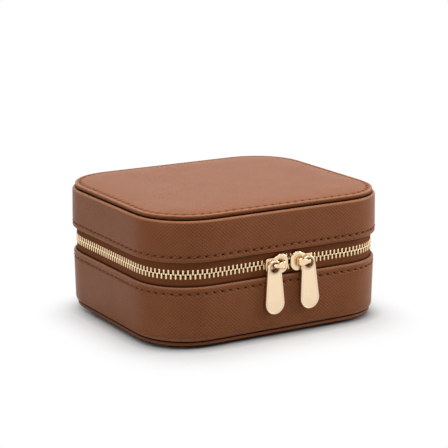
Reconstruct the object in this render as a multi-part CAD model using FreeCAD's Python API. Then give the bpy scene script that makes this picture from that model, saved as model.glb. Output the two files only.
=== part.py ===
"""Leather jewellery case: two leather-wrapped halves, a double-slider metal zip and a lined inside.

Millimetres, +Z up. The origin is on the floor under the middle of the case. The zip pulls face -Y,
the leather hinge is at +Y, and the width runs along X.
"""
import FreeCAD, Part
import math
import os

V = FreeCAD.Vector

# Outline of the case, seen from above
case_width = 150.0
case_depth = 130.0
corner_radius = 31.0

# Heights of the layers, from the floor up
bottom_panel_crown = 1.5
bottom_panel_thickness = 2.5
base_wall_height = 30.2
zip_gap = 13.5
lid_wall_height = 22.5
top_panel_thickness = 2.7
top_panel_crown = 0.9

# Leather walls: a skin folded to a hem along the zip and turned in under the panels
leather_thickness = 1.2
hem_thickness = 0.8
hem_height = 10.0
turn_in_width = 9.0
rim_rounding = 1.5
lid_edge_rounding = 1.2
base_edge_rounding = 2.4
least_inner_radius = 2.0

# Stitched panels on the top and the bottom
panel_inset = 1.6
panel_edge_rounding = 0.8
crown_width = 17.5
padding_pocket = 0.7

# Boards and lining
board_thickness = 3.0
lining_thickness = 0.8

# Zip tapes and teeth
tape_thickness = 0.7
tape_edge_gap = 2.1
tooth_pitch = 2.6
tooth_thickness = 1.0
tooth_depth = 2.3
tooth_head_depth = 1.5
tooth_shoulder = 0.2
tooth_reach = 0.7
tooth_length = 2.7
tooth_slot_clearance = 0.05
tooth_slot_end_clearance = 0.3
chain_end_margin = 1.2

# Leather hinge at the back
hinge_corner_angle = 32.0
hinge_end_gap = 0.2
hinge_lining_thickness = 0.6

# Where the sliders meet, and how far the chain is parted between them
meeting_x = 3.55
chain_parting = 1.8
parted_length = 4.5
parting_ramp = 6.0

# Sliders
slider_gap = 1.6
slider_length = 14.0
slider_nose_height = 11.0
slider_tail_height = 7.4
slider_nose_length = 4.8
slider_nose_round = 3.0
slider_shoulder_length = 4.6
slider_tail_round = 0.9
slider_front_plate = 1.5
slider_rear_plate = 1.2
slider_tooth_clearance = 0.15
slider_tape_clearance = 0.3
slider_post_height = 1.5
slider_post_setback = 0.4
slider_post_length = 2.9
slider_post_point = 1.5
slider_edge_bevel = 0.4

# Bridge on each slider, and the pull tab that hangs on its outer leg
bridge_width = 2.2
bridge_nose_width = 5.0
bridge_bar = 1.6
bridge_inner_leg = 1.9
bridge_span = 8.0
bridge_slope = 1.6
bridge_corner = 0.8
pull_pivot = 10.1
pull_thickness = 1.7
pull_side_clearance = 0.35
pull_length = 30.4
pull_eye_radius = 4.2
pull_hole_radius = 2.5
pull_end_radius = 5.95
pull_leg_clearance = 0.2
pull_edge_bevel = 0.3
left_pull_turn = 1.7
right_pull_turn = 3.4

# Inside of the base
divider_thickness = 3.0
divider_height = 22.0
ring_bay_depth = 43.5
roll_diameter = 14.4
roll_gap = 0.6
roll_flat = 0.5
roll_end_clearance = 1.0
roll_front_setback = 6.5
roll_end_bevel = 2.0

# Mirror in the lid
mirror_margin = 11.0
mirror_thickness = 1.8
mirror_frame_border = 5.0
mirror_frame_lip = 0.6
mirror_lip_cover = 2.0

# Levels worked out from the heights
base_bottom = bottom_panel_crown + bottom_panel_thickness
base_rim = base_bottom + base_wall_height
lid_rim = base_rim + zip_gap
lid_top = lid_rim + lid_wall_height
zip_centre = (base_rim + lid_rim) / 2
base_hem_end = base_rim - hem_height
lid_hem_end = lid_rim + hem_height
base_board_bottom = base_bottom + leather_thickness
lid_board_top = lid_top - leather_thickness
floor_level = base_board_bottom + board_thickness + lining_thickness
ceiling_level = lid_board_top - board_thickness - lining_thickness

# Insets of the layers of the wall, measured in from the leather's face
hem_inset = leather_thickness + hem_thickness
tape_inset = hem_inset + tape_thickness / 2
rebate_inset = hem_inset + tape_thickness
board_inset = leather_thickness + board_thickness
lining_inset = board_inset + lining_thickness

# Straight half lengths between the rounded corners, and the line of the zip
straight_x = case_width / 2 - corner_radius
straight_y = case_depth / 2 - corner_radius
chain_radius = corner_radius - tape_inset
chain_y = tape_inset - case_depth / 2

# Sliders: distances out from the meeting point, and levels in Y from the tape to the front
nose_distance = slider_gap / 2
tail_distance = nose_distance + slider_length
pivot_distance = nose_distance + pull_pivot
plate_gap = tooth_depth / 2 + slider_tooth_clearance
front_plate_face = chain_y - plate_gap - slider_front_plate
bridge_inner_face = front_plate_face - pull_thickness - 2 * pull_side_clearance

# Plan of the inside, which the dividers, the ring rolls and the mirror share
inner_half_width = case_width / 2 - lining_inset
inner_half_depth = case_depth / 2 - lining_inset
bay_back = ring_bay_depth - inner_half_depth
mirror_inset = lining_inset + mirror_margin + mirror_frame_border
mirror_face = ceiling_level - mirror_thickness


def quarter_turn(point, turns):
    """The point turned about Z by whole quarter turns, without rounding error."""
    x, y = point.x, point.y
    for _ in range(turns):
        x, y = -y, x
    return V(x, y, point.z)


def rounded_rectangle(width, depth, radius, z):
    """Closed wire of four lines and four arcs, centred on the Z axis."""
    edges = []
    diagonal = radius * (1 - math.sqrt(0.5))
    for turn in range(4):
        # Each quarter is one straight side and the arc after it, turned in steps of 90 degrees.
        half, across = (width / 2, depth / 2) if turn % 2 == 0 else (depth / 2, width / 2)
        quarter = [V(half, radius - across, z), V(half, across - radius, z),
                   V(half - diagonal, across - diagonal, z), V(half - radius, across, z)]
        points = [quarter_turn(point, turn) for point in quarter]
        edges.append(Part.LineSegment(points[0], points[1]).toShape())
        edges.append(Part.Arc(points[1], points[2], points[3]).toShape())
    return Part.Wire(edges)


def outline(inset, z):
    """The case's outline, drawn in by an inset."""
    radius = max(corner_radius - inset, least_inner_radius)
    return rounded_rectangle(case_width - 2 * inset, case_depth - 2 * inset, radius, z)


def block(inset, low, high):
    """The case's outline as a solid between two heights."""
    return Part.Face(outline(inset, low)).extrude(V(0, 0, high - low))


def ring(outer_inset, inner_inset, low, high):
    """A wall that follows the outline between two insets and two heights."""
    return block(outer_inset, low, high).cut(block(inner_inset, low, high))


def level_edges(shape, z):
    """The edges of a shape that lie flat at one height."""
    return [edge for edge in shape.Edges
            if abs(edge.BoundBox.ZMin - z) < 1e-6 and abs(edge.BoundBox.ZMax - z) < 1e-6]


def upright_edges(shape, y):
    """The edges of a shape that lie in one upright plane across Y."""
    return [edge for edge in shape.Edges
            if abs(edge.BoundBox.YMin - y) < 1e-6 and abs(edge.BoundBox.YMax - y) < 1e-6]


def polygon_prism(points, direction):
    """A straight prism on a closed polygon."""
    return Part.Face(Part.makePolygon(points + points[:1])).extrude(direction)


def box(low, high):
    """A box between two corners."""
    return Part.makeBox(high.x - low.x, high.y - low.y, high.z - low.z, low)


def leather_wall(rim, hem_end, turn_end, panel_edge, edge_rounding):
    """One half's leather: a skin, its doubled hem at the rim and the edge turned in at the panel."""
    wall = block(0, min(rim, panel_edge), max(rim, panel_edge))
    # The hem is only as thick as its two layers, so its rounding stops short of that.
    wall = wall.makeFillet(min(rim_rounding, 0.9 * hem_inset), level_edges(wall, rim))
    wall = wall.makeFillet(edge_rounding, level_edges(wall, panel_edge))
    for inset, start, end in ((hem_inset, rim, hem_end), (leather_thickness, hem_end, turn_end),
                              (turn_in_width, turn_end, panel_edge)):
        wall = wall.cut(block(inset, min(start, end), max(start, end)))
    return wall


def base_leather_wall():
    """Leather of the lower half, with its hem at the top."""
    return leather_wall(base_rim, base_hem_end, base_board_bottom, base_bottom, base_edge_rounding)


def lid_leather_wall():
    """Leather of the upper half, with its hem at the bottom."""
    return leather_wall(lid_rim, lid_hem_end, lid_board_top, lid_top, lid_edge_rounding)


def stitched_panel(seat, edge, crown):
    """Leather panel on a seat, with a rounded edge and a low crown away from the seat."""
    way = 1 if edge > seat else -1
    levels = [(panel_inset, seat)]
    for angle in (0, 30, 60, 90):
        turn = math.radians(angle)
        levels.append((panel_inset + panel_edge_rounding * (1 - math.cos(turn)),
                       edge - way * panel_edge_rounding * (1 - math.sin(turn))))
    for share in (1 / 3, 2 / 3, 1):
        levels.append((panel_inset + panel_edge_rounding + share * crown_width,
                       edge + way * crown * math.sin(share * math.pi / 2)))
    wires = [outline(inset, z) for inset, z in levels[::way]]
    return Part.makeLoft(wires, True, True)


def bottom_panel():
    """Stitched panel whose low crown the case stands on."""
    return stitched_panel(base_bottom, bottom_panel_crown, bottom_panel_crown)


def top_panel():
    """Padded panel with a low crown, hollowed underneath for its padding."""
    panel = stitched_panel(lid_top, lid_top + top_panel_thickness, top_panel_crown)
    return panel.cut(block(turn_in_width, lid_top, lid_top + padding_pocket))


def lid_padding():
    """Foam sheet between the lid's board and its leather panel."""
    return block(turn_in_width, lid_board_top, lid_top + padding_pocket)


def base_filler_card():
    """Card that levels the hollow inside the turned-in leather under the floor board."""
    return block(turn_in_width, base_bottom, base_board_bottom)


def wall_board(rim_edge, hem_end, far_edge):
    """Wall board of one half, rebated along the rim for the hem and the tape."""
    board = block(leather_thickness, min(hem_end, far_edge), max(hem_end, far_edge))
    rebated = block(rebate_inset, min(rim_edge, hem_end), max(rim_edge, hem_end))
    board = board.fuse(rebated).removeSplitter()
    return board.cut(block(board_inset, min(rim_edge, far_edge), max(rim_edge, far_edge)))


def base_frame():
    """Wall board of the lower half."""
    return wall_board(base_rim - lining_thickness, base_hem_end, base_board_bottom)


def lid_frame():
    """Wall board of the upper half."""
    return wall_board(lid_rim + lining_thickness, lid_hem_end, lid_board_top)


def base_floor_board():
    """Floor board inside the lower frame."""
    return block(board_inset, base_board_bottom, floor_level - lining_thickness)


def lid_top_board():
    """Board inside the upper frame, under the padding."""
    return block(board_inset, ceiling_level + lining_thickness, lid_board_top)


def base_lining():
    """Velvet tub of the lower half, with a lip over the frame's top edge."""
    tub = block(board_inset, floor_level - lining_thickness, base_rim)
    tub = tub.cut(block(lining_inset, floor_level, base_rim))
    lip = ring(rebate_inset, lining_inset, base_rim - lining_thickness, base_rim)
    return tub.fuse(lip).removeSplitter()


def lid_lining():
    """Velvet tub of the upper half, with a lip over the frame's bottom edge."""
    tub = block(board_inset, lid_rim, ceiling_level + lining_thickness)
    tub = tub.cut(block(lining_inset, lid_rim, ceiling_level))
    lip = ring(rebate_inset, lining_inset, lid_rim, lid_rim + lining_thickness)
    return tub.fuse(lip).removeSplitter()


def hinge_sector(angle):
    """The region behind the case that the hinge fills: the back and part of each back corner."""
    lean = math.radians(angle)
    corner = V(straight_x, straight_y, base_hem_end)
    reach = case_depth
    out = corner + V(reach * math.sin(lean), reach * math.cos(lean), 0)
    points = [corner, out, V(-out.x, out.y, out.z), V(-corner.x, corner.y, corner.z)]
    return polygon_prism(points, V(0, 0, lid_hem_end - base_hem_end))


def hinge_strip():
    """Leather strip sewn into both halves at the back, on which the lid folds."""
    end_gap_angle = math.degrees(hinge_end_gap / chain_radius)
    strip = ring(hem_inset, rebate_inset, base_hem_end, lid_hem_end)
    return strip.common(hinge_sector(hinge_corner_angle - end_gap_angle))


def hinge_lining():
    """Cloth that covers the hinge strip inside, along the straight of the back."""
    strip_face = case_depth / 2 - rebate_inset
    return box(V(-straight_x, strip_face - hinge_lining_thickness, base_rim),
               V(straight_x, strip_face, lid_rim))


def zip_tape(hem_end, way):
    """One tape of the zip, parted from its partner where the sliders meet."""
    edge = zip_centre + way * tape_edge_gap / 2
    tape = ring(hem_inset, rebate_inset, min(edge, hem_end), max(edge, hem_end))
    tape = tape.cut(hinge_sector(hinge_corner_angle))
    corners = [(-parted_length - parting_ramp, 0), (-parted_length, chain_parting),
               (parted_length, chain_parting), (parted_length + parting_ramp, 0)]
    notch = [V(meeting_x + along, chain_y - tape_thickness, edge + way * up) for along, up in corners]
    return tape.cut(polygon_prism(notch, V(0, 2 * tape_thickness, 0)))


def lower_zip_tape():
    """Tape sewn into the base's hem."""
    return zip_tape(base_hem_end, -1)


def upper_zip_tape():
    """Tape sewn into the lid's hem."""
    return zip_tape(lid_hem_end, 1)


def parting(distance):
    """How far a tooth stands off its closed place, at a distance from the meeting point."""
    past = (distance - parted_length) / parting_ramp
    return chain_parting * (1 - min(max(past, 0), 1))


def chain_side_length(side):
    """Length of the chain on one side of the meeting point, as far as the hinge."""
    corners = chain_radius * math.radians(90 + 90 - hinge_corner_angle)
    return straight_x - side * meeting_x + 2 * straight_y + corners - chain_end_margin


def chain_place(distance, side):
    """Point and outward direction on the zip's line, at a distance round from the meeting point."""
    front = straight_x - side * meeting_x
    corner = chain_radius * math.pi / 2
    if distance <= front:
        return V(meeting_x + side * distance, chain_y, 0), V(0, -1, 0)
    distance -= front
    if distance <= corner:
        turn = distance / chain_radius
        out = V(side * math.sin(turn), -math.cos(turn), 0)
        return V(side * straight_x, -straight_y, 0) + out * chain_radius, out
    distance -= corner
    if distance <= 2 * straight_y:
        return V(side * (straight_x + chain_radius), distance - straight_y, 0), V(side, 0, 0)
    turn = (distance - 2 * straight_y) / chain_radius
    out = V(side * math.cos(turn), math.sin(turn), 0)
    return V(side * straight_x, straight_y, 0) + out * chain_radius, out


def tooth(place, out, lift, way):
    """One metal tooth: a tapered head across the centre line and two legs that clamp the tape."""
    along = V(0, 0, 1).cross(out)
    slot = tape_thickness / 2 + tooth_slot_clearance
    slot_end = tape_edge_gap / 2 - tooth_slot_end_clearance
    half = [(tooth_head_depth / 2, -tooth_reach), (tooth_depth / 2, tooth_shoulder),
            (tooth_depth / 2, tooth_length), (slot, tooth_length), (slot, slot_end)]
    profile = half + [(-across, up) for across, up in reversed(half)]
    corner = place - along * (tooth_thickness / 2)
    points = [corner + out * across + V(0, 0, zip_centre + way * (lift + up)) for across, up in profile]
    return polygon_prism(points, along * tooth_thickness)


def zip_teeth(way):
    """One row of teeth, evenly spaced along the zip, half a pitch off the opposite row."""
    teeth = []
    for side in (-1, 1):
        first = 0.75 if side == way else 0.25
        count = 1 + int(chain_side_length(side) / tooth_pitch - first)
        for number in range(count):
            distance = (first + number) * tooth_pitch
            place, out = chain_place(distance, side)
            teeth.append(tooth(place, out, parting(distance), way))
    return Part.makeCompound(teeth)


def lower_zip_teeth():
    """Teeth on the base's tape."""
    return zip_teeth(-1)


def upper_zip_teeth():
    """Teeth on the lid's tape."""
    return zip_teeth(1)


def slider_point(side, along, y, up):
    """A point on a slider: a distance outwards from the meeting point, a Y and a height."""
    return V(meeting_x + side * along, y, zip_centre + up)


def slider_outline(side):
    """Shield-shaped outline of a slider's plates: a broad round nose and a narrow tail."""
    nose_half, tail_half = slider_nose_height / 2, slider_tail_height / 2
    bend = 1 - math.sqrt(0.5)
    shoulder = nose_distance + slider_nose_length
    half = [(nose_distance, nose_half - slider_nose_round),
            (nose_distance + slider_nose_round * bend, nose_half - slider_nose_round * bend),
            (nose_distance + slider_nose_round, nose_half),
            (shoulder, nose_half),
            (shoulder + slider_shoulder_length, tail_half),
            (tail_distance - slider_tail_round, tail_half),
            (tail_distance - slider_tail_round * bend, tail_half - slider_tail_round * bend),
            (tail_distance, tail_half - slider_tail_round)]
    edges = []
    ends = []
    for way in (1, -1):
        points = [slider_point(side, along, front_plate_face, way * up) for along, up in half]
        edges.append(Part.Arc(*points[0:3]).toShape())
        edges.extend(Part.LineSegment(points[i], points[i + 1]).toShape() for i in (2, 3, 4))
        edges.append(Part.Arc(*points[5:8]).toShape())
        ends.append((points[0], points[7]))
    edges.extend(Part.LineSegment(*pair).toShape() for pair in zip(*ends))
    return Part.Wire(Part.__sortEdges__(edges))


def slider_channel(side):
    """The Y-shaped way through a slider that the two rows of teeth run in."""
    stations = (0, parted_length, parted_length + parting_ramp, tail_distance + slider_gap)
    heights = [tooth_length + parting(along) + slider_tooth_clearance for along in stations]
    face = chain_y - plate_gap
    upper = [slider_point(side, along, face, up) for along, up in zip(stations, heights)]
    lower = [slider_point(side, along, face, -up) for along, up in zip(stations, heights)]
    return polygon_prism(upper + lower[::-1], V(0, 2 * plate_gap, 0))


def slider_post(side):
    """Wedge-shaped post at the nose, which parts the two rows of teeth."""
    half = slider_post_height / 2
    start = nose_distance + slider_post_setback
    square = start + slider_post_length
    profile = [(start, half), (square, half), (square + slider_post_point, 0), (square, -half),
               (start, -half)]
    points = [slider_point(side, along, chain_y - plate_gap, up) for along, up in profile]
    return polygon_prism(points, V(0, 2 * plate_gap, 0))


def slider_body(side):
    """Two plates with flanges round the teeth, joined by the post at the nose."""
    depth = slider_front_plate + 2 * plate_gap + slider_rear_plate
    body = Part.Face(slider_outline(side)).extrude(V(0, depth, 0))
    body = body.makeChamfer(slider_edge_bevel, upright_edges(body, front_plate_face))
    slot = tape_thickness / 2 + slider_tape_clearance
    tape_slot = box(V(meeting_x - tail_distance, chain_y - slot, base_rim),
                    V(meeting_x + tail_distance, chain_y + slot, lid_rim))
    body = body.cut(slider_channel(side)).cut(tape_slot)
    return body.fuse(slider_post(side)).removeSplitter()


def slider_bridge(side):
    """Arched bridge on a slider's front plate, broad at the nose, with a round outer leg."""
    outer = bridge_inner_face - bridge_bar
    end = pivot_distance + bridge_width / 2
    start = end - bridge_span
    inner_leg = start + bridge_inner_leg
    arch = [(start, front_plate_face), (start, bridge_inner_face), (start + bridge_slope, outer),
            (end - bridge_corner, outer), (end, outer + bridge_corner), (end, bridge_inner_face),
            (inner_leg, bridge_inner_face), (inner_leg, front_plate_face)]
    points = [slider_point(side, along, y, -bridge_nose_width / 2) for along, y in arch]
    bar = polygon_prism(points, V(0, 0, bridge_nose_width))
    plan = [(start, bridge_nose_width / 2), (end, bridge_width / 2), (end, -bridge_width / 2),
            (start, -bridge_nose_width / 2)]
    points = [slider_point(side, along, outer, up) for along, up in plan]
    bar = bar.common(polygon_prism(points, V(0, front_plate_face - outer, 0)))
    foot = slider_point(side, pivot_distance, front_plate_face, 0)
    leg = Part.makeCylinder(bridge_width / 2, front_plate_face - bridge_inner_face, foot, V(0, -1, 0))
    return bar.fuse(leg).removeSplitter()


def pull_tab(side, turn):
    """Paddle-shaped pull with a round eye, hanging by the eye and a few degrees aside on the bridge's leg."""
    front = bridge_inner_face + pull_side_clearance
    eye = slider_point(side, pivot_distance, front, bridge_width / 2 + pull_leg_clearance - pull_hole_radius)
    end = eye + V(0, 0, pull_eye_radius + pull_end_radius - pull_length)
    # The sides are the outer tangents of the eye's circle and the end's circle.
    lean = math.asin((pull_end_radius - pull_eye_radius) / (eye.z - end.z))
    edges = []
    corners = []
    for centre, radius, way in ((eye, pull_eye_radius, 1), (end, pull_end_radius, -1)):
        across, up = radius * math.cos(lean), radius * math.sin(lean)
        left, right = centre + V(-across, 0, up), centre + V(across, 0, up)
        edges.append(Part.Arc(left, centre + V(0, 0, way * radius), right).toShape())
        corners.append((left, right))
    edges.extend(Part.LineSegment(*pair).toShape() for pair in zip(*corners))
    paddle = Part.Face(Part.Wire(Part.__sortEdges__(edges))).extrude(V(0, pull_thickness, 0))
    rims = upright_edges(paddle, front) + upright_edges(paddle, front + pull_thickness)
    paddle = paddle.makeChamfer(pull_edge_bevel, rims)
    pull = paddle.cut(Part.makeCylinder(pull_hole_radius, pull_thickness, eye, V(0, 1, 0)))
    pull.rotate(slider_point(side, pivot_distance, front, 0), V(0, -1, 0), turn)
    return pull


def cross_divider():
    """Lined wall between the ring rolls at the front and the compartments behind."""
    return box(V(-inner_half_width, bay_back, floor_level),
               V(inner_half_width, bay_back + divider_thickness, floor_level + divider_height))


def centre_divider():
    """Lined wall between the two compartments."""
    return box(V(-divider_thickness / 2, bay_back + divider_thickness, floor_level),
               V(divider_thickness / 2, inner_half_depth, floor_level + divider_height))


def ring_rolls():
    """Row of soft rolls across the front, each a cylinder with bevelled ends and a flat foot."""
    radius = roll_diameter / 2
    front = roll_front_setback + roll_end_clearance - inner_half_depth
    length = bay_back - roll_end_clearance - front
    # The row is as wide as the rounded corners of the lining leave room for at its front ends.
    corner_room = corner_radius - lining_inset
    into_corner = max(-front - straight_y, 0)
    half_row = straight_x + math.sqrt(corner_room ** 2 - into_corner ** 2) - roll_end_clearance
    pitch = roll_diameter + roll_gap
    count = int((2 * half_row + roll_gap) / pitch)
    rolls = []
    for number in range(count):
        x = (number - (count - 1) / 2) * pitch
        roll = Part.makeCylinder(radius, length, V(x, front, floor_level + radius - roll_flat), V(0, 1, 0))
        ends = upright_edges(roll, front) + upright_edges(roll, front + length)
        roll = roll.makeChamfer(roll_end_bevel, ends)
        below = box(V(x - radius, front, floor_level - radius), V(x + radius, front + length, floor_level))
        rolls.append(roll.cut(below))
    return rolls


def mirror():
    """Mirror glass against the lid's ceiling."""
    return block(mirror_inset, mirror_face, ceiling_level)


def mirror_frame():
    """Covered frame that holds the mirror's edge against the ceiling."""
    frame = block(lining_inset + mirror_margin, mirror_face - mirror_frame_lip, ceiling_level)
    frame = frame.cut(block(mirror_inset, mirror_face, ceiling_level))
    return frame.cut(block(mirror_inset + mirror_lip_cover, mirror_face - mirror_frame_lip, mirror_face))


def all_nodes():
    """Every separate piece of the case, by its name."""
    makers = [base_leather_wall, bottom_panel, base_filler_card, base_frame, base_floor_board, base_lining,
              cross_divider, centre_divider, lid_leather_wall, top_panel, lid_padding, lid_frame,
              lid_top_board, lid_lining, mirror, mirror_frame, hinge_strip, hinge_lining,
              lower_zip_tape, upper_zip_tape, lower_zip_teeth, upper_zip_teeth]
    nodes = {make.__name__: make() for make in makers}
    for name, side, turn in (("left", -1, left_pull_turn), ("right", 1, right_pull_turn)):
        nodes[name + "_slider_body"] = slider_body(side)
        nodes[name + "_slider_bridge"] = slider_bridge(side)
        nodes[name + "_pull_tab"] = pull_tab(side, turn)
    for number, roll in enumerate(ring_rolls(), 1):
        nodes[f"ring_roll_{number}"] = roll
    return nodes


os.makedirs("parts", exist_ok=True)
for node, shape in all_nodes().items():
    shape.exportStep(f"parts/{node}.step")
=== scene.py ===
"""Leather jewellery case with stitching, a metal zip and a velvet inside, built round the CAD frame."""
from math import asin, ceil, copysign, cos, degrees, exp, floor, hypot, pi, radians, sin

import bmesh
import bpy
from mathutils import Matrix, Vector
from mathutils.geometry import tessellate_polygon


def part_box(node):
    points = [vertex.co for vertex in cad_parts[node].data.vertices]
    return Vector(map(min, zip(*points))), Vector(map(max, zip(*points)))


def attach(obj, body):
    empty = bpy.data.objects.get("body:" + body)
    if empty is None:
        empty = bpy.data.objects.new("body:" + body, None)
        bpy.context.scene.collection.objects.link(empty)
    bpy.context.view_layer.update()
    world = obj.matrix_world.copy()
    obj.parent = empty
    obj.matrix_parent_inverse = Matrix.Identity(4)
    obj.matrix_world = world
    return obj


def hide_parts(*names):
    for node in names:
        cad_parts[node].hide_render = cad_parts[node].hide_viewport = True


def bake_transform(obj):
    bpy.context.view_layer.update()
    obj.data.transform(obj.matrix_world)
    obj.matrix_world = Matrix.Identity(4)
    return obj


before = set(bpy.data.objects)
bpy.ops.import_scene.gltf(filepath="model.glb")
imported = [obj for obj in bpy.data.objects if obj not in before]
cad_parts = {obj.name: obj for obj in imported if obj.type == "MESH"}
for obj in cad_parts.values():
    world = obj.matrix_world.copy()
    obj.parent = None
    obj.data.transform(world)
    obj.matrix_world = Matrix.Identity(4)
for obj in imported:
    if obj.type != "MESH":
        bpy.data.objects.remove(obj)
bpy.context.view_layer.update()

MM = 0.001

# Places read from the frame
base_low, base_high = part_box("base_leather_wall")
half_width, half_depth = base_high.x, base_high.y
base_bottom, base_rim = base_low.z, base_high.z
lid_rim, lid_top = (corner.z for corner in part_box("lid_leather_wall"))
base_hem_end, lid_hem_end = (corner.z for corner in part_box("hinge_strip"))
panel_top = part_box("top_panel")[1].z
floor_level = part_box("cross_divider")[0].z
ceiling_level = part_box("mirror")[1].z
zip_centre = (base_rim + lid_rim) / 2

# Leather
corner_radius = 31 * MM
corner_ease = 7 * MM
leather_thickness = 1.15 * MM
hem_inset = 1.95 * MM
hem_rounding = 0.65 * MM
rim_fold = 1.3 * MM
base_edge_rounding = 2.4 * MM
lid_edge_rounding = 1.3 * MM
base_taper = (0.15 * MM, 0.75 * MM)
lid_flare = (-0.35 * MM, 0)
turn_in = 6 * MM
groove_depth = 0.9 * MM
groove_height = 0.45 * MM
panel_inset = 1.6 * MM
panel_tuck = 1.6 * MM
panel_edge_rounding = 0.7 * MM
bottom_edge_rounding = 0.8 * MM
panel_crown = 0.9 * MM
bottom_crown = 1.5 * MM
crown_width = 17.5 * MM
crown_rows = [inset * MM for inset in (7, 9, 12, 15, 18, 21, 24)]
# The pitch and the slope of the grain's ridges, on surface coordinates in millimetres
grain_pitch = 1.42
grain_slope = 1.12

# Stitching: a row along each rim and round each panel
stitch_pitch = 4.8 * MM
stitch_shares = (0, 0.05, 0.11, 0.2, 0.35, 0.5, 0.65, 0.8, 0.89, 0.95)
stitch_rows = [across * MM for across in (-1.5, -1, -0.7, -0.45, -0.22, 0, 0.22, 0.45, 0.7, 1, 1.5)]
base_stitch = 3.7 * MM
lid_stitch = 3.1 * MM
panel_stitch = 4.4 * MM
thread_radius = 0.36 * MM
thread_round = 2.1 * MM
thread_slant = 0.14 * MM
thread_dive = 0.55 * MM
thread_rise = 0.66 * MM
thread_start = 0.14
furrow_depth = 0.3 * MM
panel_furrow_depth = 0.08 * MM
furrow_width = 0.9 * MM
hole_depth = 0.8 * MM
hole_slant = 0.2
wall_hole = (0.8 * MM, 0.38 * MM)
panel_hole = (1.05 * MM, 0.75 * MM)
# How strong the painted shade is in a panel's needle holes, and along the bottom panel's edge by the
# floor
panel_hole_shade = 0.85
floor_edge_shade = 0.6

# Zip
tape_outer = 2.02 * MM
tape_inner = 2.68 * MM
tape_edge = 1.05 * MM
tape_end = 3 * MM
tape_step = 1.3 * MM
# Painted shade on a tape: how dark it is at distances in millimetres from its rim towards the teeth
tape_shades = ((-1, 1), (0, 1), (0.45, 0.9), (0.9, 0.5), (1.4, 0), (2.4, 0), (3.4, 0))
tooth_pitch = 2.6 * MM
tooth_width = 1.12 * MM
tooth_head = 1.24 * MM
tooth_depth = 1.4 * MM
tooth_reach = 0.42 * MM
tooth_length = 2.7 * MM
tooth_power = 0.7
chain_end_margin = 1.2 * MM
hinge_corner = radians(32)
hinge_end_gap = 0.05 * MM
hinge_step = 1.5 * MM
chain_inset = (tape_outer + tape_inner) / 2
meeting_x = 3.55 * MM
chain_parting = 1.8 * MM
parted_length = 4.5 * MM
parting_ramp = 6 * MM

# Sliders: a front and a rear plate, joined by rails and by the post at the nose
slider_front, slider_rear = (corner.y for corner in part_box("left_slider_body"))
slider_length = 14 * MM
slider_nose_half = 5.5 * MM
slider_tail_half = 3.7 * MM
slider_nose_length = 4.8 * MM
slider_nose_round = 4.5 * MM
slider_shoulder = 4.6 * MM
slider_tail_round = 0.9 * MM
front_plate = 1.5 * MM
rear_plate = 1.2 * MM
plate_centre = 6.5 * MM
plate_rounding = 0.5 * MM
plate_dome = 0.25 * MM
rail_width = 0.7 * MM
rail_gap = 1.3 * MM
rail_inset = 0.15 * MM
rail_start = 1.2 * MM
joint_overlap = 0.1 * MM
post_section = [(away * MM, up * MM) for away, up in
                ((0.6, -0.5), (2.6, -0.75), (4.6, 0), (2.6, 0.75), (0.6, 0.5))]

# Bridges and pull tabs
bridge_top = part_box("left_slider_bridge")[0].y
bridge_nose_leg = 4.15 * MM
bridge_outer_leg = 10.1 * MM
bridge_bar = 1.6 * MM
bridge_nose_bar = 1.9 * MM
bridge_outer_bar = 2.1 * MM
bridge_nose_width = 5 * MM
bridge_bend_width = 4.2 * MM
bridge_width = 2.2 * MM
bridge_nose_bend = 1.4 * MM
bridge_outer_bend = 1 * MM
bridge_foot = 0.5 * MM
bridge_power = 0.6
pull_front, pull_back = (corner.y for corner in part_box("left_pull_tab"))
pull_eye_drop = 1.2 * MM
pull_eye_radius = 4.2 * MM
pull_hole_radius = 2.5 * MM
pull_end_radius = 5.95 * MM
pull_eye_to_end = 20.25 * MM
pull_recess = 0.3 * MM
pull_edge = 0.4 * MM
collar_radius = 4.05 * MM
collar_height = 0.16 * MM
collar_rounding = 0.3 * MM
collar_overlap = 0.02 * MM
left_pull_turn = radians(1.7)
right_pull_turn = radians(3.4)

# Inside
lining_inset = 5 * MM
lining_thickness = 0.78 * MM
lining_foot = 1.8 * MM
lip_inset = 2.75 * MM
mirror_frame_inset = 16 * MM
mirror_window_inset = 23 * MM
mirror_rebate = 2 * MM
padding_inset = 9 * MM

# Camera, as fitted to the photograph's 448 pixel frame
photo_size = 448
camera_azimuth = radians(30.62)
camera_elevation = radians(14.4)
camera_distance = 923.6 * MM
camera_focal_pixels = 1610.2
target_pixel = (222.57, 245.42)
target = Vector((0, 0, 36.4 * MM))

# Floor and light
floor_reach = 3
floor_bounce = (0.42, 0.42, 0.42, 1)
floor_seen = (0.87, 0.88, 0.88, 1)
floor_glow = 0.35
floor_fade_centre = (-6 * MM, -20 * MM, 0)
floor_fade_core = (45 * MM, 35 * MM, 0)
floor_fade_start = 18 * MM
floor_fade_end = 57 * MM
# Painted contact shadow on the floor: how far it reaches and how dark it gets
contact_reach = 9 * MM
contact_shade = 0.4
# Lights: name, place, size and power
lights = (("overhead_light", (-0.03, -0.04, 1.13), 1.1, 13.5),
          ("right_light", (0.85, -0.38, 0.4), 0.4, 4),
          ("left_light", (-0.85, -0.3, 0.35), 0.5, 1.4))
surround_fill = 0.06
ceiling_shade = 0.3

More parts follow.
